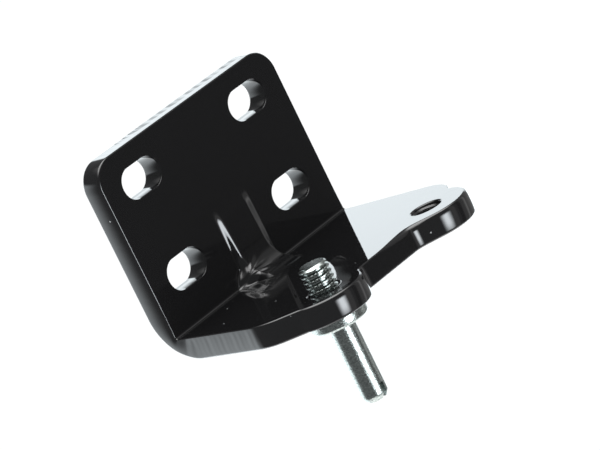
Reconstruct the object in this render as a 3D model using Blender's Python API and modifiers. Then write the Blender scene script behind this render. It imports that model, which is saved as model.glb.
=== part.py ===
"""Fixed half of an appliance door hinge: a folded steel bracket with a pin screwed into it.

Metres, +Z up. The origin is on the bracket's back face, at the centre of its four slots.
The bracket is fixed by that face, its shelf reaches towards -Y, and the pin points down.
"""
import math

import bmesh
import bpy
from mathutils import Matrix, Vector

# Bracket: the blank
SHEET = 0.0062
EDGE_ROUND = 0.0005
PLATE_WIDTH = 0.0724
PLATE_HEIGHT = 0.0486
PLATE_CORNER = 0.0071

# Bracket: the four slots, measured to their centres from the plate's side and top edges
# and from the shelf's top face
SLOT_WIDTH = 0.0081
SLOT_LENGTH = 0.0140
SLOT_FROM_SIDE = 0.01415
SLOT_FROM_TOP = 0.0097
SLOT_FROM_SHELF = 0.0131

# Bracket: the shelf, measured from the plate's front face and from the pin's axis
PIN_REACH = 0.0413
PIN_PITCH = 0.0440
LOBE_RADIUS = 0.0113
LOBE_OUT = 0.0005
LOBE_BACK = 0.00065
FRONT_OUT = 0.0037
WAIST_FILLET = 0.0060
SHOULDER_OUT = 0.01705
SHOULDER_BACK = 0.0081
SHOULDER_ROUND = 0.0136
SHOULDER_SLOPE = 32.0
SHOULDER_FILLET = 0.0010
FLARE_OUT = 0.0001
FLARE_LENGTH = 0.0050

# Bracket: the fold
FOLD_INNER = 0.0010
FOLD_OUTER = 0.0127
FOLD_FACETS = 12

# Bracket: the dart pressed across the fold
DART_HEIGHT = 0.0204
DART_REACH = 0.0105
DART_WIDTH = 0.0132
DART_FLAT = 0.0090
DART_RISE = 0.0011
DART_ROUND = 0.0070
DART_FADE = 0.0050
DART_PINCH = 0.30
DART_COLUMNS = 18
DART_ROWS = 10

# Pin
THREAD_DIAMETER = 0.0079
THREAD_PITCH = 0.00141
THREAD_DEPTH = 0.00085
THREAD_STAND = 0.0070
THREAD_CHAMFER = 0.0007
THREAD_ROWS = 6
COLLAR_DIAMETER = 0.0157
COLLAR_THICKNESS = 0.0029
COLLAR_CHAMFER = 0.0010
COLLAR_BREAK = 0.0003
JOURNAL_DIAMETER = 0.0071
JOURNAL_LENGTH = 0.0213
JOURNAL_CHAMFER = 0.0008
CHAMFER_LENGTH = 0.0014
DRIVER_SLOT_WIDTH = 0.0014
DRIVER_SLOT_DEPTH = 0.0039
DRIVER_SLOT_TURN = -76.0

# Fit
CLEARANCE = 0.0003
ROUND_SIDES = 32

# Places that follow from the sizes above
SLOT_X = PLATE_WIDTH / 2 - SLOT_FROM_SIDE
SLOT_HEIGHTS = (SLOT_FROM_SHELF, PLATE_HEIGHT - SLOT_FROM_TOP)
SHELF_TOP = -sum(SLOT_HEIGHTS) / 2
FOLD_REACH = FOLD_OUTER - SHEET
HOLE_DIAMETER = THREAD_DIAMETER + 2 * CLEARANCE
PIN_X = -PIN_PITCH / 2
PIN_Y = -SHEET - PIN_REACH
COLLAR_TOP = SHELF_TOP - SHEET - CLEARANCE


def clear_scene():
    for obj in list(bpy.data.objects):
        bpy.data.objects.remove(obj, do_unlink=True)


def new_collection(name):
    collection = bpy.data.collections.new(name)
    bpy.context.scene.collection.children.link(collection)
    return collection


def make_material(name, colour, roughness, metallic):
    material = bpy.data.materials.new(name)
    material.use_nodes = True
    shader = material.node_tree.nodes["Principled BSDF"]
    shader.inputs["Base Color"].default_value = (*colour, 1.0)
    shader.inputs["Roughness"].default_value = roughness
    shader.inputs["Metallic"].default_value = metallic
    return material


def add_object(name, data, collection):
    obj = bpy.data.objects.new(name, data)
    collection.objects.link(obj)
    return obj


def evaluated_copy(obj):
    """The object's mesh with its modifiers applied, in its own coordinates."""
    graph = bpy.context.evaluated_depsgraph_get()
    return bpy.data.meshes.new_from_object(obj.evaluated_get(graph))


def arc(centre, radius, start, end, steps):
    """Points on a circle from one angle to another, in degrees, both ends included."""
    points = []
    for step in range(steps + 1):
        angle = math.radians(start + (end - start) * step / steps)
        points.append((centre[0] + radius * math.cos(angle), centre[1] + radius * math.sin(angle)))
    return points


def angle_of(point, centre):
    return math.degrees(math.atan2(point[1] - centre[1], point[0] - centre[0]))


def fillet_to_lobe(start, along, outward, lobe, radius):
    """Centre of a hollow fillet that touches a straight edge and the round lobe.

    The edge runs from start in the direction along, and outward points off the metal.
    The centre lies one fillet radius off the edge and off the lobe's circle.
    """
    base = Vector(start) + Vector(outward) * radius - Vector(lobe)
    half = base.dot(Vector(along))
    reach = LOBE_RADIUS + radius
    inside = max(half * half - base.dot(base) + reach * reach, 0.0)
    return Vector(start) + Vector(outward) * radius + Vector(along) * (-half - math.sqrt(inside))


def half_outline():
    """Right half of the blank, from the middle of the top edge to the middle of the front.

    The first number is X. The second is the height on the plate, above the shelf's top
    face, or minus the distance from the plate's front face on the shelf.
    """
    side = PLATE_WIDTH / 2
    lobe = Vector((PIN_PITCH / 2 + LOBE_OUT, LOBE_BACK - PIN_REACH))

    points = arc((side - PLATE_CORNER, PLATE_HEIGHT - PLATE_CORNER), PLATE_CORNER, 90, 0, 8)
    for step in range(5):
        share = step / 4
        ease = share * share * (3 - 2 * share)
        points.append((side + FLARE_OUT * ease, FLARE_LENGTH * (0.4 - share)))

    # The shoulder is a circle that touches the side's edge and the edge that slopes to
    # the lobe. Those two would meet at the tip.
    tip = Vector((PIN_PITCH / 2 + SHOULDER_OUT, SHOULDER_BACK - PIN_REACH))
    along = (tip - Vector(points[-1])).normalized()
    lean = math.radians(SHOULDER_SLOPE)
    slope = Vector((-math.sin(lean), -math.cos(lean)))
    bend = math.acos(along.dot(slope))
    corner = tip - along * SHOULDER_ROUND * math.tan(bend / 2)
    corner += Vector((along.y, -along.x)) * SHOULDER_ROUND
    first = angle_of((-along.y, along.x), (0.0, 0.0))
    points += arc(corner, SHOULDER_ROUND, first, -SHOULDER_SLOPE, 7)

    off = Vector((-slope.y, slope.x))
    hollow = fillet_to_lobe(points[-1], slope, off, lobe, SHOULDER_FILLET)
    meets = angle_of(hollow, lobe)
    points += arc(hollow, SHOULDER_FILLET, 180 - SHOULDER_SLOPE, meets + 180, 3)

    front = -(PIN_REACH + FRONT_OUT)
    waist = fillet_to_lobe((0.0, front), (1.0, 0.0), (0.0, -1.0), lobe, WAIST_FILLET)
    leaves = angle_of(waist, lobe)
    points += arc(lobe, LOBE_RADIUS, meets, leaves, 22)[1:]
    points += arc(waist, WAIST_FILLET, leaves + 180, 90, 6)[1:]
    return points


def slot_outline(centre):
    radius = SLOT_WIDTH / 2
    straight = (SLOT_LENGTH - SLOT_WIDTH) / 2
    right = arc((centre[0] + straight, centre[1]), radius, -90, 90, 10)
    left = arc((centre[0] - straight, centre[1]), radius, 90, 270, 10)
    return right + left


def blank_loops():
    """The outline, the four slots and the two holes, as closed loops of points."""
    half = half_outline()
    loops = [half + [(-x, y) for x, y in reversed(half)]]
    for side in (-1, 1):
        for height in SLOT_HEIGHTS:
            loops.append(slot_outline((side * SLOT_X, height)))
        centre = (side * PIN_PITCH / 2, -PIN_REACH)
        loops.append(arc(centre, HOLE_DIAMETER / 2, 0, 360, ROUND_SIDES)[:-1])
    return loops


def blank_mesh():
    """The flat blank: a filled outline with rounded edges, as thick as the sheet."""
    curve = bpy.data.curves.new("blank", "CURVE")
    curve.dimensions = "2D"
    curve.fill_mode = "BOTH"
    curve.extrude = SHEET / 2 - EDGE_ROUND
    curve.bevel_depth = EDGE_ROUND
    curve.bevel_resolution = 1
    curve.offset = -EDGE_ROUND
    for loop in blank_loops():
        spline = curve.splines.new("POLY")
        spline.points.add(len(loop) - 1)
        for point, (x, y) in zip(spline.points, loop):
            point.co = (x, y, 0.0, 1.0)
        spline.use_cyclic_u = True
    guide = bpy.data.objects.new("blank", curve)
    bpy.context.scene.collection.objects.link(guide)
    mesh = evaluated_copy(guide)
    bpy.data.objects.remove(guide, do_unlink=True)
    return mesh


def cut_lines(work, axis, places, box=None):
    """Score the mesh along straight lines, over all of it or inside a box of X and Y."""
    normal = Vector((1.0, 0.0, 0.0)) if axis == 0 else Vector((0.0, 1.0, 0.0))
    for place in places:
        faces = [face for face in work.faces if box is None or in_box(face, box)]
        edges = {edge for face in faces for edge in face.edges}
        verts = {vert for face in faces for vert in face.verts}
        geometry = list(verts) + list(edges) + faces
        bmesh.ops.bisect_plane(work, geom=geometry, dist=1e-7, plane_co=normal * place, plane_no=normal)


def in_box(face, box):
    middle = face.calc_center_median()
    return box[0] < middle.x < box[1] and box[2] < middle.y < box[3]


def inner_radius(angle):
    """Distance from the fold's outer centre to the inner face, along a ray at an angle.

    The inner face is a square corner as far from that centre as the fold reaches, and
    the corner is rounded by the inner fold radius.
    """
    rounding = min(FOLD_INNER, FOLD_REACH)
    square = FOLD_REACH - rounding
    low, high = sorted((math.cos(angle), math.sin(angle)))
    if low * FOLD_REACH < square * high:
        return FOLD_REACH / high
    inside = rounding ** 2 - (square * (high - low)) ** 2
    return square * (high + low) + math.sqrt(max(inside, 0.0))


def fold(along, depth):
    """Section of the folded sheet: distance in front of the plate, height above the shelf.

    Along is the height on the plate or minus the reach on the shelf, and depth runs from
    the inner face to the outer one. Between the two straight legs a point lies on a ray
    from the fold's centre, at its share of the way from the inner to the outer face.
    """
    if along >= FOLD_REACH:
        return -depth, along
    if along <= -FOLD_REACH:
        return -along, -depth
    angle = math.pi / 4 * (1 - along / FOLD_REACH)
    inner = inner_radius(angle)
    radius = inner + (FOLD_OUTER - inner) * depth / SHEET
    return FOLD_REACH - radius * math.cos(angle), FOLD_REACH - radius * math.sin(angle)


def ease_in(share):
    share = min(max(share, 0.0), 1.0)
    return share * share * (3 - 2 * share)


def dart_push(x, along, depth):
    """How far the dart moves a point of the section, out from the plate and up.

    The dart's top runs at one distance from plate and shelf, and is rounded in the
    corner. The inner face moves all the way to it over the dart's flat, and less and less
    towards its feet and its ends. The outer face follows over a narrower width.
    """
    narrow = 1 - DART_PINCH * depth / SHEET
    slope = max((DART_WIDTH - DART_FLAT) / 2, 0.0001) * narrow
    bulge = ease_in((DART_WIDTH / 2 * narrow - abs(x)) / slope)
    bulge *= ease_in((DART_HEIGHT - along) / DART_FADE) * ease_in((along + DART_REACH) / DART_FADE)
    front, up = fold(along, 0.0)
    reach = DART_RISE + DART_ROUND
    angle = math.pi / 4 * (1 - min(max(along / reach, -1.0), 1.0))
    top_front = max(reach - DART_ROUND * math.cos(angle), -along)
    top_up = max(reach - DART_ROUND * math.sin(angle), along)
    return (top_front - front) * bulge, (top_up - up) * bulge


def make_bracket(collection, material):
    work = bmesh.new()
    work.from_mesh(blank_mesh())
    bmesh.ops.remove_doubles(work, verts=work.verts, dist=1e-6)

    half = DART_WIDTH / 2
    facets = [FOLD_REACH * (1 - 2 * step / FOLD_FACETS) for step in range(FOLD_FACETS + 1)]
    cut_lines(work, 1, facets)
    cut_lines(work, 1, (DART_HEIGHT, -DART_REACH))
    cut_lines(work, 0, (-half, half))
    box = (-half, half, -DART_REACH, DART_HEIGHT)
    upper = [FOLD_REACH + (DART_HEIGHT - FOLD_REACH) * row / DART_ROWS for row in range(1, DART_ROWS)]
    cut_lines(work, 1, upper, box)
    columns = [half * (2 * column / DART_COLUMNS - 1) for column in range(1, DART_COLUMNS)]
    cut_lines(work, 0, columns, box)

    for vert in work.verts:
        x, along = vert.co.x, vert.co.y
        depth = SHEET / 2 - vert.co.z
        front, up = fold(along, depth)
        push_front, push_up = dart_push(x, along, depth)
        vert.co = Vector((x, -SHEET - front - push_front, SHELF_TOP + up + push_up))
    bmesh.ops.triangulate(work, faces=[face for face in work.faces if len(face.verts) > 4])
    bmesh.ops.recalc_face_normals(work, faces=work.faces)

    mesh = bpy.data.meshes.new("bracket")
    work.to_mesh(mesh)
    work.free()
    mesh.shade_smooth()
    mesh.set_sharp_from_angle(angle=math.radians(30))
    mesh.materials.append(material)
    return add_object("bracket", mesh, collection)


def turned(name, profile, collection, sides=ROUND_SIDES):
    """A solid of revolution about Z, from a profile of radius and height, top to bottom."""
    mesh = bpy.data.meshes.new(name)
    points = [(radius, 0.0, height) for radius, height in profile]
    mesh.from_pydata(points, [(i, i + 1) for i in range(len(points) - 1)], [])
    obj = add_object(name, mesh, collection)
    screw = obj.modifiers.new("Turn", "SCREW")
    screw.steps = sides
    screw.render_steps = sides
    screw.use_merge_vertices = True
    screw.merge_threshold = 0.00005
    return obj


def boolean(target, cutter, operation):
    modifier = target.modifiers.new(cutter.name, "BOOLEAN")
    modifier.operation = operation
    modifier.solver = "EXACT"
    modifier.object = cutter


def as_guide(obj):
    obj.hide_render = True
    obj.display_type = "WIRE"
    return obj


def thread_radius(angle, height, top):
    """Radius of the threaded end: a rounded ridge along a right-hand helix.

    The ridge's height follows a cosine of the turn, cut flat at its crest and its root,
    and the top end is chamfered.
    """
    turn = (height - top) / THREAD_PITCH - angle / (2 * math.pi)
    tooth = min(max(0.5 + 0.75 * math.cos(2 * math.pi * turn), 0.0), 1.0)
    radius = THREAD_DIAMETER / 2 - THREAD_DEPTH * (1 - tooth)
    return min(radius, THREAD_DIAMETER / 2 - THREAD_CHAMFER + (top - height))


def make_pin(collection, guides, material):
    """The pin, modelled about Z with its heights as they are in place."""
    crest = THREAD_DIAMETER / 2
    collar = COLLAR_DIAMETER / 2
    journal = JOURNAL_DIAMETER / 2
    top = SHELF_TOP + THREAD_STAND
    collar_foot = COLLAR_TOP - COLLAR_THICKNESS
    foot = collar_foot - JOURNAL_LENGTH

    rows = math.ceil((top - COLLAR_TOP) / THREAD_PITCH * THREAD_ROWS)
    threaded = [(crest, top + (COLLAR_TOP - top) * row / rows) for row in range(rows + 1)]
    profile = [(0.0, top)] + threaded + [
        (collar - COLLAR_BREAK, COLLAR_TOP),
        (collar, COLLAR_TOP - COLLAR_BREAK),
        (collar, collar_foot + COLLAR_CHAMFER),
        (collar - COLLAR_CHAMFER * 0.3, collar_foot + COLLAR_CHAMFER * 0.3),
        (collar - COLLAR_CHAMFER, collar_foot),
        (journal, collar_foot),
        (journal, foot + CHAMFER_LENGTH),
        (journal - JOURNAL_CHAMFER, foot),
        (0.0, foot),
    ]
    blank = turned("pin_blank", profile, guides)
    mesh = evaluated_copy(blank)
    for vert in mesh.vertices:
        reach = math.hypot(vert.co.x, vert.co.y)
        if abs(reach - crest) < 1e-6 and vert.co.z > COLLAR_TOP - 1e-6:
            angle = math.atan2(vert.co.y, vert.co.x)
            radius = thread_radius(angle, vert.co.z, top)
            vert.co.x *= radius / reach
            vert.co.y *= radius / reach
    pin = add_object("hinge_pin", mesh, collection)

    bpy.ops.mesh.primitive_cube_add(size=1.0, location=(0.0, 0.0, foot))
    cutter = bpy.context.object
    cutter.name = "driver_slot"
    cutter.dimensions = (COLLAR_DIAMETER, DRIVER_SLOT_WIDTH, 2 * DRIVER_SLOT_DEPTH)
    cutter.rotation_euler.z = math.radians(DRIVER_SLOT_TURN)
    for owner in list(cutter.users_collection):
        owner.objects.unlink(cutter)
    guides.objects.link(as_guide(cutter))
    boolean(pin, cutter, "DIFFERENCE")
    bpy.context.view_layer.update()

    mesh = evaluated_copy(pin)
    for obj in (blank, pin, cutter):
        bpy.data.objects.remove(obj, do_unlink=True)
    mesh.transform(Matrix.Translation((PIN_X, PIN_Y, 0.0)))
    mesh.shade_smooth()
    mesh.set_sharp_from_angle(angle=math.radians(30))
    mesh.materials.clear()
    mesh.materials.append(material)
    return add_object("hinge_pin", mesh, collection)


def main():
    clear_scene()
    hinge = new_collection("door_hinge_bracket")
    guides = new_collection("cutters")
    enamel = make_material("black_enamel", (0.011, 0.011, 0.011), 0.08, 0.0)
    zinc = make_material("zinc_plated_steel", (0.55, 0.57, 0.57), 0.28, 1.0)
    make_bracket(hinge, enamel)
    make_pin(hinge, guides, zinc)


main()
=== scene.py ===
"""Fixed half of an appliance door hinge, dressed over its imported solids.

A thick steel bracket, folded and enamelled black, carries a zinc plated pin that is screwed
into its shelf. Metres, +Z up, origin at the middle of the four slots on the back face.
"""
import math

import bmesh
import bpy
import numpy as np
from bpy.props import FloatProperty, FloatVectorProperty, PointerProperty
from mathutils import Matrix, Vector
from mathutils.geometry import delaunay_2d_cdt


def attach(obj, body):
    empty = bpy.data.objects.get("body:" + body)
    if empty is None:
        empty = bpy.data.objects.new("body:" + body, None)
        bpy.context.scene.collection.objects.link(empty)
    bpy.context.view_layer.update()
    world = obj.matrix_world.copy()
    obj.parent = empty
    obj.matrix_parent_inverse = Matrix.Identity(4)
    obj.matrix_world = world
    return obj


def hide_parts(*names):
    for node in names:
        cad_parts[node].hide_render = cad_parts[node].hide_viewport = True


bl_info = {
    "name": "Appliance door hinge bracket",
    "version": (1, 0, 0),
    "blender": (4, 5, 0),
    "location": "3D Viewport > Sidebar > Hinge",
    "description": "Builds an enamelled hinge bracket, its screwed pin and a plain studio",
    "category": "Add Mesh",
}

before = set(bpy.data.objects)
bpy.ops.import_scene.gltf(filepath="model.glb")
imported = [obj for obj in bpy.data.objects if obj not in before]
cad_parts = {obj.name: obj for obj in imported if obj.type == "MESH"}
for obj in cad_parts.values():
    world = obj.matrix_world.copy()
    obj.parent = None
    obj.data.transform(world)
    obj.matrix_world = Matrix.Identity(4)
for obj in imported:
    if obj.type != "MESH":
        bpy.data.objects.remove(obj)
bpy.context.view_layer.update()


def linear(code):
    """A colour's linear values from its sRGB hex code."""
    srgb = [int(code[i:i + 2], 16) / 255 for i in (0, 2, 4)]
    return tuple(c / 12.92 if c <= 0.04045 else ((c + 0.055) / 1.055) ** 2.4 for c in srgb)


def length(name, description, default):
    """A property that holds a length in metres."""
    return FloatProperty(name=name, description=description, default=default, min=0.0,
                         unit="LENGTH", precision=5)


def angle(name, description, degrees):
    """A property that holds an angle, given in degrees."""
    return FloatProperty(name=name, description=description, default=math.radians(degrees),
                         unit="ROTATION")


def colour(name, description, code):
    """A property that holds a colour, given as sRGB hex."""
    return FloatVectorProperty(name=name, description=description, default=linear(code),
                               subtype="COLOR", size=3, min=0.0, max=1.0)


class BracketSettings(bpy.types.PropertyGroup):
    """Sizes and colours of the folded bracket."""
    sheet: length("Sheet", "Thickness of the steel", 0.0062)
    arris: length("Arris", "Radius that tumbling and enamel leave on the outer edges", 0.0005)
    rim: length("Rim", "Radius that enamel leaves on the slots' edges", 0.00025)
    draw: length("Draw", "How far the lobes' upper outline stands inside the lower one", 0.0003)
    front_draw: length("Front draw", "The same at the right half of the front edge", 0.0013)
    roll_over: length("Roll over", "Depth in which the upper outline gives way to the lower", 0.0016)
    knee: length("Knee", "Where the front edge bends towards the right lobe", 0.0101)
    knee_upper: length("Knee upper", "Half the length of that bend in the upper outline", 0.0024)
    knee_lower: length("Knee lower", "Half the length of that bend in the lower outline", 0.0013)
    width: length("Plate width", "Width of the upright plate", 0.0724)
    height: length("Plate height", "Height of the plate above the shelf's top face", 0.0486)
    corner: length("Corner", "Radius of the plate's upper corners", 0.0071)
    slot_width: length("Slot width", "Short way across a slot", 0.0081)
    slot_length: length("Slot length", "Long way across a slot", 0.0140)
    slot_side: length("Slot from side", "Slot's middle to the plate's side", 0.01415)
    slot_top: length("Slot from top", "Upper slot's middle to the plate's top", 0.0097)
    slot_foot: length("Slot from shelf", "Lower slot's middle to the shelf", 0.0131)
    pin_reach: length("Pin reach", "Plate's front face to the pin's axis", 0.0413)
    pin_pitch: length("Pin pitch", "Distance between the two tapped holes", 0.0440)
    lobe: length("Lobe", "Radius of the lobe round each tapped hole", 0.01128)
    lobe_out: length("Lobe out", "Lobe's middle beyond the tapped hole, sideways", 0.0005)
    lobe_back: length("Lobe back", "Lobe's middle behind the tapped hole", 0.00065)
    front: length("Front", "How far the front edge stands beyond the pin's axis", 0.0042)
    waist: length("Waist", "Radius of the hollow beside each lobe", 0.0036)
    shoulder: length("Shoulder", "Shoulder's corner beyond the pin's axis", 0.01705)
    shoulder_back: length("Shoulder back", "Shoulder's corner behind the pin's axis", 0.0081)
    shoulder_round: length("Shoulder round", "Radius of the shoulder's corner", 0.0136)
    shoulder_slope: angle("Shoulder slope", "Direction of the edge from shoulder to lobe", 32.0)
    shoulder_hollow: length("Shoulder hollow", "Radius between shoulder and lobe", 0.0008)
    shoulder_draw: length("Shoulder draw", "The same in the upper outline on the left", 0.0036)
    notch_from: length("Notch from", "Distance from the right shoulder's corner to its notch", 0.0006)
    notch_slope: angle("Notch slope", "Direction of the notch's edge to the right lobe", 44.0)
    crown: length("Crown", "How far a pierced edge's middle stands out", 0.00016)
    streak: length("Streak", "Height of the streaks on the pierced edges", 0.000022)
    burr: length("Burr", "Height of the burr at the back of the plate's top edge", 0.00020)
    flare: length("Flare", "Steel squeezed out sideways at the fold", 0.00005)
    fold_inner: length("Inner fold", "Radius inside the fold", 0.0007)
    fold_outer: length("Outer fold", "Radius outside the fold", 0.0127)
    dart_height: length("Dart height", "Top of the pressed dart above the shelf", 0.0214)
    dart_reach: length("Dart reach", "End of the dart on the shelf", 0.0105)
    dart_width: length("Dart width", "Width of the dart at its feet", 0.0132)
    dart_flat: length("Dart flat", "Width of the dart's level top", 0.0090)
    dart_rise: length("Dart rise", "How far the dart's top stands off plate and shelf", 0.0011)
    dart_round: length("Dart round", "Radius of the dart's top in the corner", 0.0070)
    dart_taper: angle("Dart taper", "Slope of the dart's top towards the plate", 3.0)
    dart_flare: length("Dart flare", "How far the dart's left foot spreads at the crease", 0.0032)
    dart_flare_length: length("Dart flare length", "Distance from the crease in which it does", 0.0038)
    dart_skew: length("Dart skew", "How much further the dart's right foot stands out", 0.0012)
    wrinkle: length("Wrinkle", "Height of the wrinkles at the dart's foot", 0.00015)
    wrinkle_side: length("Wrinkle side", "Where the wrinkles meet, left of the middle", 0.0064)
    dart_fade: length("Dart fade", "Length in which the dart's ends die away", 0.0042)
    hole: length("Pin hole", "Clear diameter round the screwed pin", 0.0085)
    tapped: length("Tapped hole", "Major diameter of the spare hole's thread", 0.0081)
    enamel: colour("Enamel", "Colour of the black enamel", "1A1A1B")
    dust: colour("Dust", "Colour of the specks of dust in the enamel", "B4B8BA")


class PinSettings(bpy.types.PropertyGroup):
    """Sizes and colours of the hinge pin."""
    thread: length("Thread", "Major diameter of the thread", 0.0079)
    pitch: length("Pitch", "Rise of the thread in one turn", 0.00141)
    depth: length("Depth", "Depth of the thread", 0.00085)
    stand: length("Stand", "Height of the thread's end above the shelf", 0.0070)
    chamfer: length("Chamfer", "Chamfer at the thread's end", 0.0007)
    collar: length("Collar", "Diameter of the collar", 0.0157)
    collar_thick: length("Collar thickness", "Thickness of the collar", 0.0029)
    collar_chamfer: length("Collar chamfer", "Rounding of the collar's lower edge", 0.0010)
    seat: length("Seat", "Gap between the shelf and the collar", 0.0003)
    journal: length("Journal", "Diameter of the plain journal", 0.0071)
    journal_length: length("Journal length", "Length of the journal below the collar", 0.0213)
    end_chamfer: length("End chamfer", "Chamfer at the journal's end", 0.0008)
    end_taper: length("End taper", "Length of the chamfer at the journal's end", 0.0014)
    slot_width: length("Driver slot width", "Width of the screwdriver slot", 0.0014)
    slot_depth: length("Driver slot depth", "Depth of the screwdriver slot", 0.0039)
    slot_turn: angle("Driver slot turn", "Direction of the slot, seen from above", -86.0)
    zinc: colour("Zinc", "Colour of the zinc plating", "B4BBB8")
    grime: colour("Grime", "Colour of the plating in grooves and scratches", "525958")


class StudioSettings(bpy.types.PropertyGroup):
    """The camera's place and the colours of the studio."""
    turn: angle("Turn", "Camera's direction about the vertical", -43.308)
    tilt: angle("Tilt", "Camera's height above the level", 12.727)
    roll: angle("Roll", "Camera's roll about its own axis", 26.119)
    distance: length("Distance", "Camera to the point it looks at", 1.15363)
    lens: FloatProperty(name="Lens", description="Focal length in millimetres", default=272.51)
    aim_right: length("Aim right", "Point looked at, right of the inner corner's middle", 0.009695)
    aim_up: length("Aim up", "Point looked at, above the inner corner's middle", 0.012177)
    floor_drop: length("Floor drop", "Floor below the object's origin", 0.300)
    floor_half: length("Floor half", "Half the floor's side", 6.0)
    paper: colour("Paper", "Colour of the floor", "F4F5F5")


# Shapes worked out as arrays

# Distances between the points of the meshes
OUTLINE_STEP = 0.00028
SLOT_STEP = 0.00030
FLAT_STEP = 0.004
ACROSS_STEP = 0.0011
FOLD_STEP = 0.0003
CREASE_STEP = 0.00007
DART_STEP = 0.00024
SUPPORT_GAP = 0.00022

# Bands on each side of the fold's inner corner: the finest points, the fold's and the flats'
FINE_REACH = 0.0010
CREASE_REACH = 0.0007
FOLD_START = 0.0009
FOLD_REACH = 0.0078
FLAT_START = 0.009

# Rows of points on the wall of a pierced edge, plain and threaded
WALL_ROWS = 18
THREAD_ROWS = 70

# The front edge's inset begins this far left of the middle and is whole after this length
DRAW_START = 0.004
DRAW_LENGTH = 0.012


def arc(centre, radius, start, end, steps):
    """Points on a circle from one angle to another, in degrees: centre plus radius times
    the cosine and sine of evenly spaced angles."""
    turn = np.radians(np.linspace(start, end, steps + 1))
    return np.asarray(centre) + radius * np.stack([np.cos(turn), np.sin(turn)], 1)


def bearing(point, centre):
    """Direction from the centre to a point, in degrees."""
    return math.degrees(math.atan2(point[1] - centre[1], point[0] - centre[0]))


def hollow_centre(start, along, outward, lobe, reach, radius):
    """Centre of a hollow fillet: one radius off a straight edge, and its own radius plus
    the lobe's off the middle of the lobe."""
    base = np.asarray(start) + np.asarray(outward) * radius - np.asarray(lobe)
    half = base @ np.asarray(along)
    inside = max(half * half - base @ base + (reach + radius) ** 2, 0.0)
    return base + np.asarray(lobe) + np.asarray(along) * (-half - math.sqrt(inside))


def evened(loop, spacing, other=None):
    """The closed loop again, with points evenly spaced along its length, and four times as
    many beside the fold. Of another loop with the same number of points, it gives the
    points that match those."""
    other = loop if other is None else other
    closed = np.vstack([loop, loop[:1]])
    travel = np.concatenate([[0.0], np.cumsum(np.linalg.norm(np.diff(closed, axis=0), axis=1))])
    count = max(int(round(travel[-1] / spacing)), 12)
    marks = np.linspace(0.0, travel[-1], count * 4, endpoint=False)
    at_fold = np.abs(np.interp(marks, travel, closed[:, 1])) < FINE_REACH
    marks = marks[at_fold | (np.arange(count * 4) % 4 == 0)]
    closed = np.vstack([other, other[:1]])
    return np.stack([np.interp(marks, travel, closed[:, i]) for i in (0, 1)], 1)


def front_edge(b, lobe, reach, inset, half=None):
    """One half of the edge between the lobes, from a lobe's foremost point to the middle,
    at evenly spaced X: the lobe's circle, a hollow circle that touches it and the straight
    front. On the right a bend takes the place of the hollow: a parabola of the given half
    length, then a straight line that touches the lobe. The inset grows to the right."""
    x = np.linspace(lobe[0], 0.0, 140)
    front = -(b.pin_reach + b.front)
    if half is None:
        front += inset * eased((DRAW_START - x) / DRAW_LENGTH)
        middle = hollow_centre((0.0, front[0]), (1.0, 0.0), (0.0, -1.0), lobe, reach, b.waist)
        start = middle[0]
        leaves = math.radians(bearing(middle, lobe))
        between = middle[1] + np.sqrt(np.maximum(b.waist ** 2 - (x - start) ** 2, 0.0))
    else:
        away = lobe - (b.knee, front + inset)
        leaves = math.radians(bearing(away, (0, 0))) + math.acos(reach / np.linalg.norm(away)) - math.pi
        touch = lobe + reach * np.array((math.cos(leaves), math.sin(leaves)))
        front += inset * eased((DRAW_START + x) / DRAW_LENGTH)
        start = b.knee - half
        ramp = np.where(x > b.knee + half, x - b.knee, (x - start) ** 2 / (4 * half))
        between = front + ramp * (touch[1] - front[0]) / (touch[0] - b.knee)
    on_lobe = lobe[1] - np.sqrt(np.maximum(reach ** 2 - (x - lobe[0]) ** 2, 0.0))
    y = np.where(x > lobe[0] + reach * math.cos(leaves), on_lobe, np.where(x > start, between, front))
    return np.stack([x, y], 1)


def blank_outline(b, inset, front_inset, half, hollows):
    """Outline of the flat blank, clockwise. X, then the height on the plate above the
    shelf's top face, or minus the distance from the plate's face on the shelf.

    The shoulder is a circle that touches the side's edge and the edge that slopes to the
    lobe. On the right that edge breaks off in a notch. Lobe and front edge stand back by
    their insets. Half is half the length of the bend in the front edge, and hollows are the
    radii between shoulder and lobe, right and left."""
    side = b.width / 2
    lobe = np.array((b.pin_pitch / 2 + b.lobe_out, b.lobe_back - b.pin_reach))
    reach = b.lobe - inset
    parts = [arc((side - b.corner, b.height - b.corner), b.corner, 90, 0, 40)]
    share = np.linspace(0.0, 1.0, 25)
    flare_length, above_corner = 0.005, 0.4
    parts.append(np.stack([side + b.flare * eased(share), flare_length * (above_corner - share)], 1))

    tip = np.array((b.pin_pitch / 2 + b.shoulder, b.shoulder_back - b.pin_reach))
    along = tip - parts[-1][-1]
    along /= np.linalg.norm(along)
    slope = np.array((-math.sin(b.shoulder_slope), -math.cos(b.shoulder_slope)))
    bend = math.acos(along @ slope)
    centre = tip - along * b.shoulder_round * math.tan(bend / 2)
    centre += np.array((along[1], -along[0])) * b.shoulder_round
    off = np.array((-slope[1], slope[0]))
    first, last = (bearing(v, (0, 0)) for v in ((-along[1], along[0]), off))
    parts.append(arc(centre, b.shoulder_round, first, last, 30))

    sides = []
    for notched, round_in in zip((True, False), hollows):
        start = parts[-1][-1] + slope * b.notch_from
        if notched:
            slope_in = np.array((-math.sin(b.notch_slope), -math.cos(b.notch_slope)))
        else:
            slope_in = slope
        off = np.array((-slope_in[1], slope_in[0]))
        hollow = hollow_centre(start, slope_in, off, lobe, reach, round_in)
        meets = bearing(hollow, lobe)
        turn = bearing(off, (0, 0)) + 180
        edge = front_edge(b, lobe, reach, front_inset, half if notched else None)
        sides.append(np.vstack(parts + [start[None], arc(hollow, round_in, turn, meets + 180, 12),
                                        arc(lobe, reach, meets, -90, 70)[1:], edge[1:]]))
    return np.vstack([sides[0], sides[1][-2::-1] * (-1.0, 1.0)])


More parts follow.
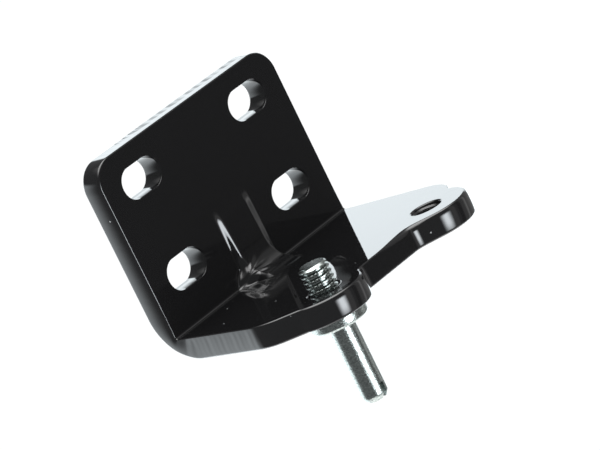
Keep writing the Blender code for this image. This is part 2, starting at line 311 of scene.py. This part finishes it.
def slot_outline(centre, b):
    """A slot's outline, anticlockwise: two half circles joined by straight sides."""
    radius = b.slot_width / 2
    straight = (b.slot_length - b.slot_width) / 2
    right = arc((centre[0] + straight, centre[1]), radius, -90, 90, 40)
    left = arc((centre[0] - straight, centre[1]), radius, 90, 270, 40)
    return np.vstack([right, left])


def edge_normals(loop):
    """Unit vectors in the blank's plane that point off the metal: each point's neighbours
    give the edge's direction, which is turned by a quarter."""
    along = np.roll(loop, -1, 0) - np.roll(loop, 1, 0)
    along /= np.linalg.norm(along, axis=1, keepdims=True)
    return np.stack([-along[:, 1], along[:, 0]], 1)


def inner_radius(turn, b):
    """Distance from the fold's outer centre to the inner face, along rays at an angle: a
    square corner, rounded by the inner fold radius."""
    reach = b.fold_outer - b.sheet
    square = reach - b.fold_inner
    low = np.minimum(np.cos(turn), np.sin(turn))
    high = np.maximum(np.cos(turn), np.sin(turn))
    inside = b.fold_inner ** 2 - (square * (high - low)) ** 2
    rounded = square * (high + low) + np.sqrt(np.maximum(inside, 0.0))
    return np.where(low * reach < square * high, reach / high, rounded)


def fold_section(along, depth, b):
    """Section of the folded sheet: distance in front of the plate, height above the shelf.

    In the fold a point lies on a ray from the fold's outer centre, at its share of the way
    from the inner to the outer face. Elsewhere the legs are straight."""
    reach = b.fold_outer - b.sheet
    turn = np.pi / 4 * (1 - np.clip(along / reach, -1.0, 1.0))
    inner = inner_radius(turn, b)
    radius = inner + (b.fold_outer - inner) * depth / b.sheet
    front = np.where(along >= reach, -depth, reach - radius * np.cos(turn))
    up = np.where(along <= -reach, -depth, reach - radius * np.sin(turn))
    front = np.where(along <= -reach, -along, front)
    return front, np.where(along >= reach, along, up)


def eased(share):
    """A rise from 0 to 1 that starts and ends level: three times the square less twice
    the cube."""
    share = np.clip(share, 0.0, 1.0)
    return share * share * (3 - 2 * share)


def ramped(share, soft):
    """A straight rise from 0 to 1 whose two ends are rounded by parabolas."""
    share = np.clip(share, 0.0, 1.0)
    low, high = np.minimum(share, soft), np.minimum(1 - share, soft)
    return (low * low / (2 * soft) + np.clip(share - soft, 0.0, 1 - 2 * soft)
            + soft / 2 - high * high / (2 * soft)) / (1 - soft)


def wrinkles(x, along, b):
    """Height of the wrinkles that fan out from the dart's left foot: sines of the direction
    from the point where they meet, which come in and die away with the distance."""
    out_on_shelf, died_away, fade, left_edge = 0.0004, 0.0085, 0.006, 0.0012
    from_x, from_along = x + b.wrinkle_side, along + out_on_shelf
    away = np.hypot(from_x, from_along)
    ray = np.arctan2(from_along, from_x)
    height = b.wrinkle * (0.65 * np.sin(9 * ray + 0.8) + 0.35 * np.sin(17 * ray + 2.0 * np.sin(3 * ray)))
    height *= eased(away / 0.002) * eased((died_away - away) / fade)
    return height * eased((from_x + 0.0004) / left_edge)


def dart_push(x, along, depth, b):
    """How far the pressed dart moves points of the section, out from the plate and up.

    Its top runs beside plate and shelf, and is rounded in the corner. The inner face moves
    all the way to it over the dart's flat, and by a smooth step to nothing at its feet and
    ends; the foot on the plate's right side is a straight ramp. The outer face follows
    over a narrower width. Wrinkles push the inner face straight off the plate, straight up
    off the shelf and slantwise between the two."""
    front, up = fold_section(along, np.zeros_like(along), b)
    reach = b.dart_rise + b.dart_round
    turn = np.pi / 4 * (1 - np.clip(along / reach, -1.0, 1.0))
    top_front = np.maximum(reach - b.dart_round * np.cos(turn), -along)
    top_front -= math.sin(b.dart_taper) * np.maximum(along - reach, 0.0)
    top_up = np.maximum(reach - b.dart_round * np.sin(turn), along)

    on_right = x > 0
    pinch, right_flare, ramp_start, ramp_soft = 0.30, 0.15, 0.005, 0.16
    narrow = 1 - pinch * depth / b.sheet
    flare = b.dart_flare * eased(1 - np.abs(along) / b.dart_flare_length)
    flare = flare * np.where(on_right, right_flare, 1.0)
    wide = np.where(on_right, b.dart_skew, 0.0)
    feet = (b.dart_width / 2 + wide) * narrow + flare - np.abs(x)
    feet /= ((b.dart_width - b.dart_flat) / 2 + 0.4 * wide) * narrow + 0.95 * flare
    ramp = np.where(on_right, eased(along / ramp_start), 0.0)
    bulge = ramped(feet, ramp_soft) * ramp + eased(feet) * (1 - ramp)
    bulge *= eased((b.dart_height - along) / b.dart_fade)
    bulge *= eased((along + b.dart_reach) / b.dart_fade)
    crinkle = wrinkles(x, along, b) * eased(feet * 3) * (1 - depth / b.sheet)
    return ((top_front - front) * bulge + crinkle * np.cos(turn),
            (top_up - up) * bulge + crinkle * np.sin(turn))


def shelf_level(b):
    """Height of the shelf's top face. The origin is midway between the rows of slots."""
    return -(b.slot_foot + b.height - b.slot_top) / 2


def folded(x, along, depth, b):
    """Places in space of points of the flat blank, given by X, their way along the blank
    and their depth below the inner face."""
    front, up = fold_section(along, depth, b)
    push_front, push_up = dart_push(x, along, depth, b)
    return np.stack([x, -b.sheet - front - push_front, shelf_level(b) + up + push_up], 1)


def inside(points, loop):
    """True for points inside a closed loop: a ray to the right crosses its edges an odd
    number of times."""
    x, y = points[:, :1], points[:, 1:]
    ax, ay = loop[:, 0], loop[:, 1]
    bx, by = np.roll(ax, -1), np.roll(ay, -1)
    straddles = (ay > y) != (by > y)
    run = np.where(by == ay, 1e-12, by - ay)
    return (straddles & (x < ax + (y - ay) * (bx - ax) / run)).sum(1) % 2 == 1


def spread(start, end, step):
    """Evenly spaced values from start to end."""
    return np.linspace(start, end, max(int(round((end - start) / step)), 1) + 1)


def grid_points(across, along):
    """Every pair of the two rows of values."""
    x, s = np.meshgrid(across, along)
    return np.stack([x.ravel(), s.ravel()], 1)


def face_mesh(loops, supports, b):
    """One flat face of the blank as triangles: its loops, a second row of points just
    inside them that keeps the face flat, and a grid that is fine at the fold and dart."""
    margin = 0.0004
    side = b.width / 2 + 0.001
    half = b.dart_width / 2 + b.dart_flare + margin / 2
    low, high = -b.dart_reach - margin, b.dart_height + margin
    crease = spread(-CREASE_REACH, CREASE_REACH, CREASE_STEP)
    rows = np.concatenate([spread(-FOLD_REACH, -FOLD_START, FOLD_STEP), crease,
                           spread(FOLD_START, FOLD_REACH, FOLD_STEP)])
    across = spread(-side, side, FLAT_STEP)
    fill = np.vstack([
        grid_points(across, spread(FLAT_START, b.height, FLAT_STEP)),
        grid_points(across, spread(-b.pin_reach - 0.008, -FLAT_START, FLAT_STEP)),
        grid_points(spread(-side, side, ACROSS_STEP), rows),
    ])
    in_dart = (np.abs(fill[:, 0]) < half) & (fill[:, 1] > low) & (fill[:, 1] < high)
    rows = np.concatenate([spread(low, -FOLD_START, FOLD_STEP), crease,
                           spread(FOLD_START, high, FOLD_STEP)])
    fill = np.vstack([fill[~in_dart], grid_points(spread(-half, half, DART_STEP), rows)])
    keep = inside(fill, supports[0])
    for loop in supports[1:]:
        keep &= ~inside(fill, loop)
    fill = fill[keep]
    near = np.vstack(supports)
    gap = np.full(len(fill), 1.0)
    for block in np.array_split(near, 40):
        gap = np.minimum(gap, np.linalg.norm(fill[:, None] - block[None], axis=2).min(1))
    fill = fill[gap > np.where(np.abs(fill[:, 1]) < FINE_REACH, 0.00005, 0.00015)]

    points = np.vstack(list(loops) + list(supports) + [fill])
    edges = []
    start = 0
    for loop in list(loops) + list(supports):
        ring = np.arange(start, start + len(loop))
        edges += np.stack([ring, np.roll(ring, -1)], 1).tolist()
        start += len(loop)
    to_mm = 1000
    made = delaunay_2d_cdt([Vector(p) for p in points * to_mm], edges, [], 0, 1e-6, False)
    places = np.array([tuple(v) for v in made[0]]) / to_mm
    triangles = np.array(made[2])
    middle = places[triangles].mean(1)
    keep = inside(middle, loops[0])
    for loop in loops[1:]:
        keep &= ~inside(middle, loop)
    return places, triangles[keep]


def lip_profile(b, arris, rows):
    """Profile of a pierced edge from the inner to the outer face: a quarter round, the
    wall and a quarter round. Offset off the metal, then depth."""
    turn = np.radians(np.linspace(0, 90, 7))
    offset = arris * (np.sin(turn) - 1)
    depth = arris * (1 - np.cos(turn))
    wall = np.linspace(arris, b.sheet - arris, rows)[1:-1]
    return (np.concatenate([offset, np.zeros(len(wall)), offset[::-1]]),
            np.concatenate([depth, wall, b.sheet - depth[::-1]]))


def waves(way, lengths, turn):
    """A sum of sines of the given wavelengths, each started at its own angle, from -1 to 1."""
    total = sum(np.sin(2 * np.pi * way / wave + turn * (k + 1) ** 2) for k, wave in enumerate(lengths))
    return total / len(lengths)


def sheared(way, depths, loop, b):
    """What shearing leaves on a pierced edge under the enamel, as an offset off the metal:
    a middle that stands out by the square of the distance from it, shallow streaks from
    face to face that are strongest on the shelf's sides, and at the plate's top, right of
    its left corner, a burr that rises behind a wavy line."""
    way, x, height, depths = way[None], loop[None, :, 0], loop[None, :, 1], depths[:, None]
    from_arris = eased(depths / 0.0012) * eased((b.sheet - depths) / 0.0010)
    on_shelf_side = eased((abs(x) - 0.030) / 0.003) * eased(-height / 0.004)
    streaks = waves(way + 0.0002 * np.sin(depths / 0.0011), (0.0083, 0.0047, 0.0029, 0.0019), 1.7)
    streaks *= b.streak * (0.2 + 0.8 * on_shelf_side) * from_arris
    at_top = eased((height - b.height + 0.0015) / 0.0015)
    line = b.sheet * 0.5 + 0.0005 * waves(way, (0.0131, 0.0071, 0.0037), 2.3)
    torn = np.clip(0.5 + (x + 0.017) / 0.008 + 0.5 * waves(way, (0.0067, 0.0029), 0.9), 0.0, 1.0)
    burr = b.burr * at_top * (torn * np.maximum(depths - line, 0.0) / (b.sheet / 2) - 1)
    return streaks + burr - b.crown * (1 - at_top) * (2 * depths / b.sheet - 1) ** 2


def new_object(name, vertices, faces, material):
    """A smooth mesh object from arrays, its normals turned outwards."""
    mesh = bpy.data.meshes.new(name)
    mesh.from_pydata(vertices.tolist(), [], faces)
    work = bmesh.new()
    work.from_mesh(mesh)
    bmesh.ops.remove_doubles(work, verts=work.verts, dist=1e-7)
    bmesh.ops.recalc_face_normals(work, faces=work.faces)
    work.to_mesh(mesh)
    work.free()
    mesh.shade_smooth()
    mesh.materials.append(material)
    obj = bpy.data.objects.new(name, mesh)
    bpy.context.scene.collection.objects.link(obj)
    return obj


def thread_tooth(turn):
    """Height of a thread from 0 to 1 over one pitch: a cosine, cut flat at crest and root."""
    return np.clip(0.5 + 0.72 * np.cos(2 * np.pi * turn), 0.0, 1.0)


def bracket_arrays(b, pitch, depth):
    """All points and faces of the bracket: two flat faces, and a pierced edge round the
    outline and each opening, folded together.

    An edge's point is its loop's point, moved along the edge's outward direction. The
    outline rolls over from its upper to its lower loop along a parabola."""
    spare = (b.pin_pitch / 2, -b.pin_reach)
    taken = (-b.pin_pitch / 2, -b.pin_reach)
    upper = blank_outline(b, b.draw, b.front_draw, b.knee_upper, (b.shoulder_hollow, b.shoulder_draw))
    lower = blank_outline(b, 0.0, 0.0, b.knee_lower, (b.shoulder_hollow, b.shoulder_hollow))
    loops = [(evened(upper, OUTLINE_STEP), evened(upper, OUTLINE_STEP, lower), b.arris)]
    for side in (-1, 1):
        for height in (b.slot_foot, b.height - b.slot_top):
            slot = evened(slot_outline((side * (b.width / 2 - b.slot_side), height), b), SLOT_STEP)
            loops.append((slot, slot, b.rim))
    for centre, across in ((taken, b.hole), (spare, b.tapped)):
        hole = arc(centre, across / 2, 0, 360, 96)[:-1]
        loops.append((hole, hole, b.arris))

    flat, faces, start = [], [], 0
    for which, level in ((0, 0.0), (1, b.sheet)):
        rims, supports = [], []
        for loop in loops:
            normal = edge_normals(loop[which])
            rims.append(loop[which] - normal * loop[2])
            supports.append(loop[which] - normal * (loop[2] + SUPPORT_GAP))
        places, triangles = face_mesh(rims, supports, b)
        flat.append(np.column_stack([places, np.full(len(places), level)]))
        faces += (triangles + start).tolist()
        start += len(places)

    first_hole = len(loops) - 2
    for number, (top, bottom, arris) in enumerate(loops):
        tapped = number == first_hole + 1
        offset, depths = lip_profile(b, arris, THREAD_ROWS if tapped else WALL_ROWS)
        normals = edge_normals(top)[None], edge_normals(bottom)[None]
        blend = 1 - (1 - np.clip(depths / b.roll_over, 0.0, 1.0)[:, None, None]) ** 2
        shift = np.repeat(offset[:, None], len(top), 1)
        if tapped:
            turn = np.arctan2(top[:, 1] - spare[1], top[:, 0] - spare[0]) / (2 * np.pi)
            ridge = thread_tooth(depths[:, None] / pitch + turn[None])
            run_out, share = 0.0005, 0.8
            fade = np.clip((depths - arris) / run_out, 0, 1)
            fade *= np.clip((b.sheet - arris - depths) / run_out, 0, 1)
            shift += ridge * (depth * share * fade)[:, None]
        elif number < first_hole:
            way = np.cumsum(np.linalg.norm(np.diff(top, axis=0, prepend=top[-1:]), axis=1))
            shift += sheared(way + 0.031 * number, depths, top, b)
        shift = shift[:, :, None]
        point = (top[None] + normals[0] * shift) * (1 - blend)
        point += (bottom[None] + normals[1] * shift) * blend
        deep = np.repeat(depths[:, None], len(top), 1)
        flat.append(np.column_stack([point.reshape(-1, 2), deep.ravel()]))
        index = start + np.arange(deep.size).reshape(deep.shape)
        after = np.roll(index, -1, 1)
        quads = np.stack([index[:-1], after[:-1], after[1:], index[1:]], 2).reshape(-1, 4)
        faces += quads.tolist()
        start += deep.size
    flat = np.vstack(flat)
    return folded(flat[:, 0], flat[:, 1], flat[:, 2], b), faces


def revolved(profile, columns, shape=None):
    """A closed solid of revolution about Z from radii and heights, top to bottom. A shape
    function may change the radii by angle and height. Both ends close in one point."""
    radius, height = np.asarray(profile).T
    turn = np.linspace(0, 2 * np.pi, columns, endpoint=False)
    radii = np.repeat(radius[1:-1, None], columns, 1)
    heights = np.repeat(height[1:-1, None], columns, 1)
    if shape is not None:
        radii = shape(radii, heights, turn[None])
    grid = np.stack([radii * np.cos(turn), radii * np.sin(turn), heights], 2).reshape(-1, 3)
    points = np.vstack([[0, 0, height[0]], grid, [0, 0, height[-1]]])
    index = 1 + np.arange(radii.size).reshape(radii.shape)
    after = np.roll(index, -1, 1)
    faces = np.stack([index[:-1], index[1:], after[1:], after[:-1]], 2).reshape(-1, 4).tolist()
    last = len(points) - 1
    faces += [[0, a, c] for a, c in zip(index[0].tolist(), after[0].tolist())]
    faces += [[last, c, a] for a, c in zip(index[-1].tolist(), after[-1].tolist())]
    return points, faces


# Materials

def add(tree, kind, settings=None, links=None):
    """Adds a shader node. Settings go to its sockets by name or number and to its own
    attributes, and links join its sockets to outputs given as (node, output)."""
    node = tree.nodes.new(kind)
    for key, value in (settings or {}).items():
        if isinstance(key, int) or key in node.inputs:
            node.inputs[key].default_value = value
        else:
            setattr(node, key, value)
    for key, (source, output) in (links or {}).items():
        tree.links.new(source.outputs[output], node.inputs[key])
    return node


def new_material(name):
    """An empty node material, and its node tree."""
    material = bpy.data.materials.new(name)
    material.use_nodes = True
    material.node_tree.nodes.clear()
    return material, material.node_tree


def black_enamel(b):
    """Black enamel over steel, dipped and baked: a hard, wet looking gloss with a faint
    orange peel and a few specks of dust caught in it."""
    material, tree = new_material("black_baked_enamel")
    dust_rarity, dust_size = 0.76, 0.06
    place = add(tree, "ShaderNodeTexCoord")
    dust_map = add(tree, "ShaderNodeTexVoronoi", {"Scale": 260.0, "Randomness": 1.0},
                   {"Vector": (place, "Object")})
    rare = add(tree, "ShaderNodeMath", {"operation": "GREATER_THAN", 1: dust_rarity},
               {0: (dust_map, "Color")})
    close = add(tree, "ShaderNodeMath", {"operation": "LESS_THAN", 1: dust_size},
                {0: (dust_map, "Distance")})
    speck = add(tree, "ShaderNodeMath", {"operation": "MULTIPLY"}, {0: (rare, 0), 1: (close, 0)})
    tint = add(tree, "ShaderNodeMix", {"data_type": "RGBA", 6: (*b.enamel, 1), 7: (*b.dust, 1)},
               {0: (speck, 0)})
    peel = add(tree, "ShaderNodeTexNoise", {"Scale": 420.0, "Detail": 0.0}, {"Vector": (place, "Object")})
    wave = add(tree, "ShaderNodeTexNoise", {"Scale": 90.0, "Detail": 0.0}, {"Vector": (place, "Object")})
    both = add(tree, "ShaderNodeMath", {"operation": "MULTIPLY_ADD", 1: 3.0},
               {0: (wave, 0), 2: (peel, 0)})
    bump = add(tree, "ShaderNodeBump", {"Strength": 0.2, "Distance": 0.00002}, {"Height": (both, 0)})
    shader = add(tree, "ShaderNodeBsdfPrincipled", {"Roughness": 0.035, "IOR": 1.5},
                 {"Base Color": (tint, 2), "Normal": (bump, 0)})
    add(tree, "ShaderNodeOutputMaterial", {}, {"Surface": (shader, 0)})
    return material


def zinc_plate(p, axis, seat):
    """Turned steel with bright zinc plating: soft metallic shine, fine rings left by the
    lathe and small darker scratches, and a coarser grain below the seat."""
    material, tree = new_material("bright_zinc_plated_steel")
    place = add(tree, "ShaderNodeTexCoord")
    moved = add(tree, "ShaderNodeMapping", {"Location": (-axis[0], -axis[1], 0.0)},
                {"Vector": (place, "Object")})
    rings = add(tree, "ShaderNodeMapping", {"Scale": (150.0, 150.0, 3200.0)}, {"Vector": (moved, 0)})
    ring = add(tree, "ShaderNodeTexNoise", {"Scale": 1.0, "Detail": 2.0}, {"Vector": (rings, 0)})
    grain = add(tree, "ShaderNodeTexNoise", {"Scale": 2600.0, "Detail": 2.0}, {"Vector": (moved, 0)})
    shade = add(tree, "ShaderNodeMapRange",
                {"From Min": 0.35, "From Max": 0.75, "To Min": 0.0, "To Max": 0.75},
                {"Value": (grain, 0)})
    tint = add(tree, "ShaderNodeMix", {"data_type": "RGBA", 6: (*p.zinc, 1), 7: (*p.grime, 1)},
               {0: (shade, 0)})
    rough = add(tree, "ShaderNodeMapRange", {"To Min": 0.16, "To Max": 0.34}, {"Value": (ring, 0)})
    height = add(tree, "ShaderNodeSeparateXYZ", {}, {0: (moved, 0)})
    plain = add(tree, "ShaderNodeMapRange",
                {"From Min": seat, "From Max": seat - 0.001, "To Min": 0.3, "To Max": 2.2},
                {"Value": (height, "Z")})
    both = add(tree, "ShaderNodeMath", {"operation": "MULTIPLY_ADD"},
               {0: (grain, 0), 1: (plain, 0), 2: (ring, 0)})
    bump = add(tree, "ShaderNodeBump", {"Strength": 0.6, "Distance": 0.00004}, {"Height": (both, 0)})
    shader = add(tree, "ShaderNodeBsdfPrincipled", {"Metallic": 1.0},
                 {"Base Color": (tint, 2), "Roughness": (rough, 0), "Normal": (bump, 0)})
    add(tree, "ShaderNodeOutputMaterial", {}, {"Surface": (shader, 0)})
    return material


class HINGE_OT_bracket(bpy.types.Operator):
    """Folded and enamelled bracket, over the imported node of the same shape"""
    bl_idname = "hinge.bracket"
    bl_label = "Bracket"

    def execute(self, context):
        b = context.scene.hinge_bracket
        p = context.scene.hinge_pin
        points, faces = bracket_arrays(b, p.pitch, p.depth)
        piece = new_object("bracket_enamelled", points, faces, black_enamel(b))
        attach(piece, "root")
        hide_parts("bracket")
        return {"FINISHED"}


class HINGE_OT_pin(bpy.types.Operator):
    """Turned, threaded and zinc plated pin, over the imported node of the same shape"""
    bl_idname = "hinge.pin"
    bl_label = "Hinge pin"

    def execute(self, context):
        b = context.scene.hinge_bracket
        p = context.scene.hinge_pin
        axis = (-b.pin_pitch / 2, -b.sheet - b.pin_reach)
        shelf_top = shelf_level(b)
        top = shelf_top + p.stand
        seat = shelf_top - b.sheet - p.seat
        foot = seat - p.collar_thick
        end = foot - p.journal_length
        crest = p.thread / 2
        collar = p.collar / 2
        journal = p.journal / 2

        rows_per_turn, columns, bevel, fillet = 22, 128, 0.0003, 0.0002
        turn = np.radians(np.linspace(0, 90, 9))
        heights = np.linspace(top, seat, int(round((top - seat) / p.pitch * rows_per_turn)))
        profile = [(0.0, top)]
        profile += [(r, top) for r in np.linspace(0.3, 1.0, 6) * (crest - p.chamfer)]
        profile += [(crest, h) for h in heights[1:]]
        profile += [(collar - bevel, seat), (collar, seat - bevel)]
        profile += list(zip(collar - p.collar_chamfer * (1 - np.cos(turn)),
                            foot + p.collar_chamfer * (1 - np.sin(turn))))
        profile += [(journal + fillet, foot), (journal, foot - fillet)]
        profile += [(journal, h) for h in np.linspace(foot - 0.0004, end + p.end_taper + 0.0003, 12)]
        profile += [(journal, end + p.end_taper), (journal - p.end_chamfer, end + 0.0001)]
        profile += [(journal - p.end_chamfer - 0.0001, end), (0.001, end), (0.0, end)]

        def threaded(radii, levels, turns):
            """Above the seat the radius follows a ridge along a right-hand helix, cut off
            by the end's chamfer."""
            tooth = thread_tooth((levels - top) / p.pitch - turns / (2 * np.pi))
            cone = crest - p.chamfer + (top - levels)
            screw = np.minimum(crest - p.depth * (1 - tooth), cone)
            on_screw = (levels > seat + 1e-6) & (levels < top - 1e-6)
            return np.where(on_screw, screw, radii)

        points, faces = revolved(profile, columns, threaded)
        points[:, 0] += axis[0]
        points[:, 1] += axis[1]
        material = zinc_plate(p, axis, seat)
        piece = new_object("hinge_pin_plated", points, faces, material)

        box = np.array([(x, y, z) for x in (-1, 1) for y in (-1, 1) for z in (-1, 1)], float)
        box *= (collar, p.slot_width / 2, p.slot_depth)
        turned = Matrix.Rotation(p.slot_turn, 3, "Z")
        box = box @ np.array(turned).T + (axis[0], axis[1], end)
        sides = [(0, 1, 3, 2), (4, 6, 7, 5), (0, 4, 5, 1), (2, 3, 7, 6), (0, 2, 6, 4), (1, 5, 7, 3)]
        cutter = new_object("driver_slot", box, sides, material)
        cut = piece.modifiers.new("Driver slot", "BOOLEAN")
        cut.operation = "DIFFERENCE"
        cut.solver = "EXACT"
        cut.object = cutter
        graph = context.evaluated_depsgraph_get()
        mesh = bpy.data.meshes.new_from_object(piece.evaluated_get(graph))
        piece.modifiers.clear()
        piece.data = mesh
        bpy.data.objects.remove(cutter, do_unlink=True)
        mesh.shade_smooth()
        mesh.set_sharp_from_angle(angle=math.radians(40))
        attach(piece, "root")
        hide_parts("hinge_pin")
        return {"FINISHED"}


def panel(tree, before, heading, half, low, high, soft, tint, strength):
    """Lays one soft-edged panel of the surroundings over those before it. It spans an angle
    to each side of its heading and a range of heights, all in degrees. Soft holds how far
    its upright and its level edges fade to each side."""
    place = add(tree, "ShaderNodeTexCoord")
    level = add(tree, "ShaderNodeVectorMath", {"operation": "MULTIPLY", 1: (1, 1, 0)},
                {0: (place, "Generated")})
    level = add(tree, "ShaderNodeVectorMath", {"operation": "NORMALIZE"}, {0: (level, 0)})
    turn = math.radians(heading)
    side = add(tree, "ShaderNodeVectorMath",
               {"operation": "DOT_PRODUCT", 1: (math.cos(turn), math.sin(turn), 0)}, {0: (level, 0)})
    side = add(tree, "ShaderNodeMath", {"operation": "ARCCOSINE"}, {0: (side, "Value")})
    up = add(tree, "ShaderNodeSeparateXYZ", {}, {0: (place, "Generated")})
    up = add(tree, "ShaderNodeMath", {"operation": "ARCSINE"}, {0: (up, "Z")})
    shares = []
    for source, start, end in ((side, half + soft[0], half - soft[0]), (up, low - soft[1], low + soft[1]),
                               (up, high + soft[1], high - soft[1])):
        shares.append(add(tree, "ShaderNodeMapRange",
                          {"interpolation_type": "SMOOTHSTEP", "From Min": math.radians(start),
                           "From Max": math.radians(end)}, {"Value": (source, 0)}))
    share = add(tree, "ShaderNodeMath", {"operation": "MULTIPLY"}, {0: (shares[0], 0), 1: (shares[1], 0)})
    share = add(tree, "ShaderNodeMath", {"operation": "MULTIPLY"}, {0: (share, 0), 1: (shares[2], 0)})
    light = tuple(c * strength for c in linear(tint))
    return add(tree, "ShaderNodeMix", {"data_type": "RGBA", 7: (*light, 1)}, {0: (share, 0), 6: before})


class HINGE_OT_studio(bpy.types.Operator):
    """White studio: floor, surroundings that the gloss reflects, and the camera"""
    bl_idname = "hinge.studio"
    bl_label = "Studio"

    def execute(self, context):
        s = context.scene.hinge_studio
        b = context.scene.hinge_bracket
        scene = context.scene
        scene.view_settings.view_transform = "Standard"

        corners = np.array([(-1, -1), (1, -1), (1, 1), (-1, 1)], float) * s.floor_half
        floor = new_object("floor", np.column_stack([corners, np.full(4, -s.floor_drop)]), [(0, 1, 2, 3)],
                           self.paper(s))
        floor.visible_glossy = False

        world = bpy.data.worlds.new("white_surroundings")
        scene.world = world
        world.use_nodes = True
        tree = world.node_tree
        tree.nodes.clear()
        ray = add(tree, "ShaderNodeLightPath")
        room = (add(tree, "ShaderNodeRGB"), 0)
        room[0].outputs[0].default_value = (0.20, 0.205, 0.21, 1)
        # Heading, half width, lowest and highest angle, softness, tint and strength
        backdrop = (74.2, 55.5, -90.0, 18.0, (11.0, 4.5), "F3FBFF", 2.85)
        behind_shelf = (46.7, 24.0, -6.0, 10.2, (4.0, 1.6), "F3FBFF", 1.75)
        grey_wall = (-15.0, 38.0, -90.0, 90.0, (9.0, 9.0), "FFFFFF", 0.38)
        light_strip = (-21.0, 4.0, -30.0, 30.0, (4.0, 9.0), "FFFFFF", 1.0)
        ceiling = (10.0, 200.0, 50.0, 99.0, (4.0, 9.0), "FFFFFF", 1.3)
        dark_gap = (-48.0, 7.0, -90.0, 90.0, (4.0, 4.0), "FFFFFF", 0.08)
        pale_wall = (-72.0, 8.0, -90.0, 60.0, (4.0, 4.0), "FFFFFF", 0.55)
        table = (0.0, 200.0, -99.0, -48.0, (4.0, 9.0), "FFFFFF", 2.2)
        overhead = (0.0, 200.0, 60.0, 99.0, (4.0, 11.0), "FFFFFF", 7.0)
        softbox = (-96.5, 10.5, -22.0, 1.0, (8.5, 8.0), "F4FAFF", 16.0)
        for wall in (backdrop, behind_shelf, grey_wall, light_strip, ceiling, dark_gap,
                     pale_wall, table, overhead, softbox):
            room = (panel(tree, room, *wall), 2)
        gloss = add(tree, "ShaderNodeBackground", {"Strength": 1.0}, {"Color": room})
        even = add(tree, "ShaderNodeBackground", {"Color": (1, 1, 1, 1), "Strength": 1.0})
        mixed = add(tree, "ShaderNodeMixShader", {},
                    {0: (ray, "Is Glossy Ray"), 1: (even, 0), 2: (gloss, 0)})
        add(tree, "ShaderNodeOutputWorld", {}, {"Surface": (mixed, 0)})

        turn, tilt, roll = s.turn, s.tilt, s.roll
        back = Vector((math.sin(turn) * math.cos(tilt), -math.cos(turn) * math.cos(tilt), math.sin(tilt)))
        level = Vector((math.cos(turn), math.sin(turn), 0.0))
        rise = back.cross(level)
        right = math.cos(roll) * level - math.sin(roll) * rise
        up = math.sin(roll) * level + math.cos(roll) * rise
        aim = Vector((0.0, -b.sheet, shelf_level(b))) + right * s.aim_right + up * s.aim_up
        data = bpy.data.cameras.new("camera")
        data.lens = s.lens
        data.sensor_width = 36.0
        data.clip_start = 0.05
        camera = bpy.data.objects.new("camera", data)
        place = Matrix.Translation(aim + back * s.distance)
        camera.matrix_world = place @ Matrix((right, up, back)).transposed().to_4x4()
        scene.collection.objects.link(camera)
        scene.camera = camera
        return {"FINISHED"}

    def paper(self, s):
        """White paper: matt, and a little lighter for the camera alone, so that it looks
        white and still keeps the object's shadow."""
        camera_lift = 0.13
        material, tree = new_material("white_paper_floor")
        ray = add(tree, "ShaderNodeLightPath")
        matt = add(tree, "ShaderNodeBsdfDiffuse", {"Color": (*s.paper, 1)})
        share = add(tree, "ShaderNodeMath", {"operation": "MULTIPLY", 1: camera_lift},
                    {0: (ray, "Is Camera Ray")})
        lift = add(tree, "ShaderNodeEmission", {"Color": (1, 1, 1, 1)}, {"Strength": (share, 0)})
        both = add(tree, "ShaderNodeAddShader", {}, {0: (matt, 0), 1: (lift, 0)})
        add(tree, "ShaderNodeOutputMaterial", {}, {"Surface": (both, 0)})
        return material


class HINGE_PT_panel(bpy.types.Panel):
    """Buttons and sizes of the hinge"""
    bl_idname = "HINGE_PT_panel"
    bl_label = "Hinge"
    bl_space_type = "VIEW_3D"
    bl_region_type = "UI"
    bl_category = "Hinge"

    def draw(self, context):
        layout = self.layout
        for operator, settings in (("hinge.bracket", "hinge_bracket"), ("hinge.pin", "hinge_pin"),
                                   ("hinge.studio", "hinge_studio")):
            group = getattr(context.scene, settings)
            layout.operator(operator)
            for name in group.__annotations__:
                layout.prop(group, name)


CLASSES = (BracketSettings, PinSettings, StudioSettings, HINGE_OT_bracket, HINGE_OT_pin,
           HINGE_OT_studio, HINGE_PT_panel)


def register():
    """Adds the classes and the three groups of settings to Blender."""
    for cls in CLASSES:
        bpy.utils.register_class(cls)
    bpy.types.Scene.hinge_bracket = PointerProperty(type=BracketSettings)
    bpy.types.Scene.hinge_pin = PointerProperty(type=PinSettings)
    bpy.types.Scene.hinge_studio = PointerProperty(type=StudioSettings)


def unregister():
    """Takes them out again."""
    del bpy.types.Scene.hinge_studio
    del bpy.types.Scene.hinge_pin
    del bpy.types.Scene.hinge_bracket
    for cls in reversed(CLASSES):
        bpy.utils.unregister_class(cls)


def main():
    """Builds both pieces and the studio."""
    register()
    bpy.ops.hinge.bracket()
    bpy.ops.hinge.pin()
    bpy.ops.hinge.studio()


if __name__ == "__main__":
    main()
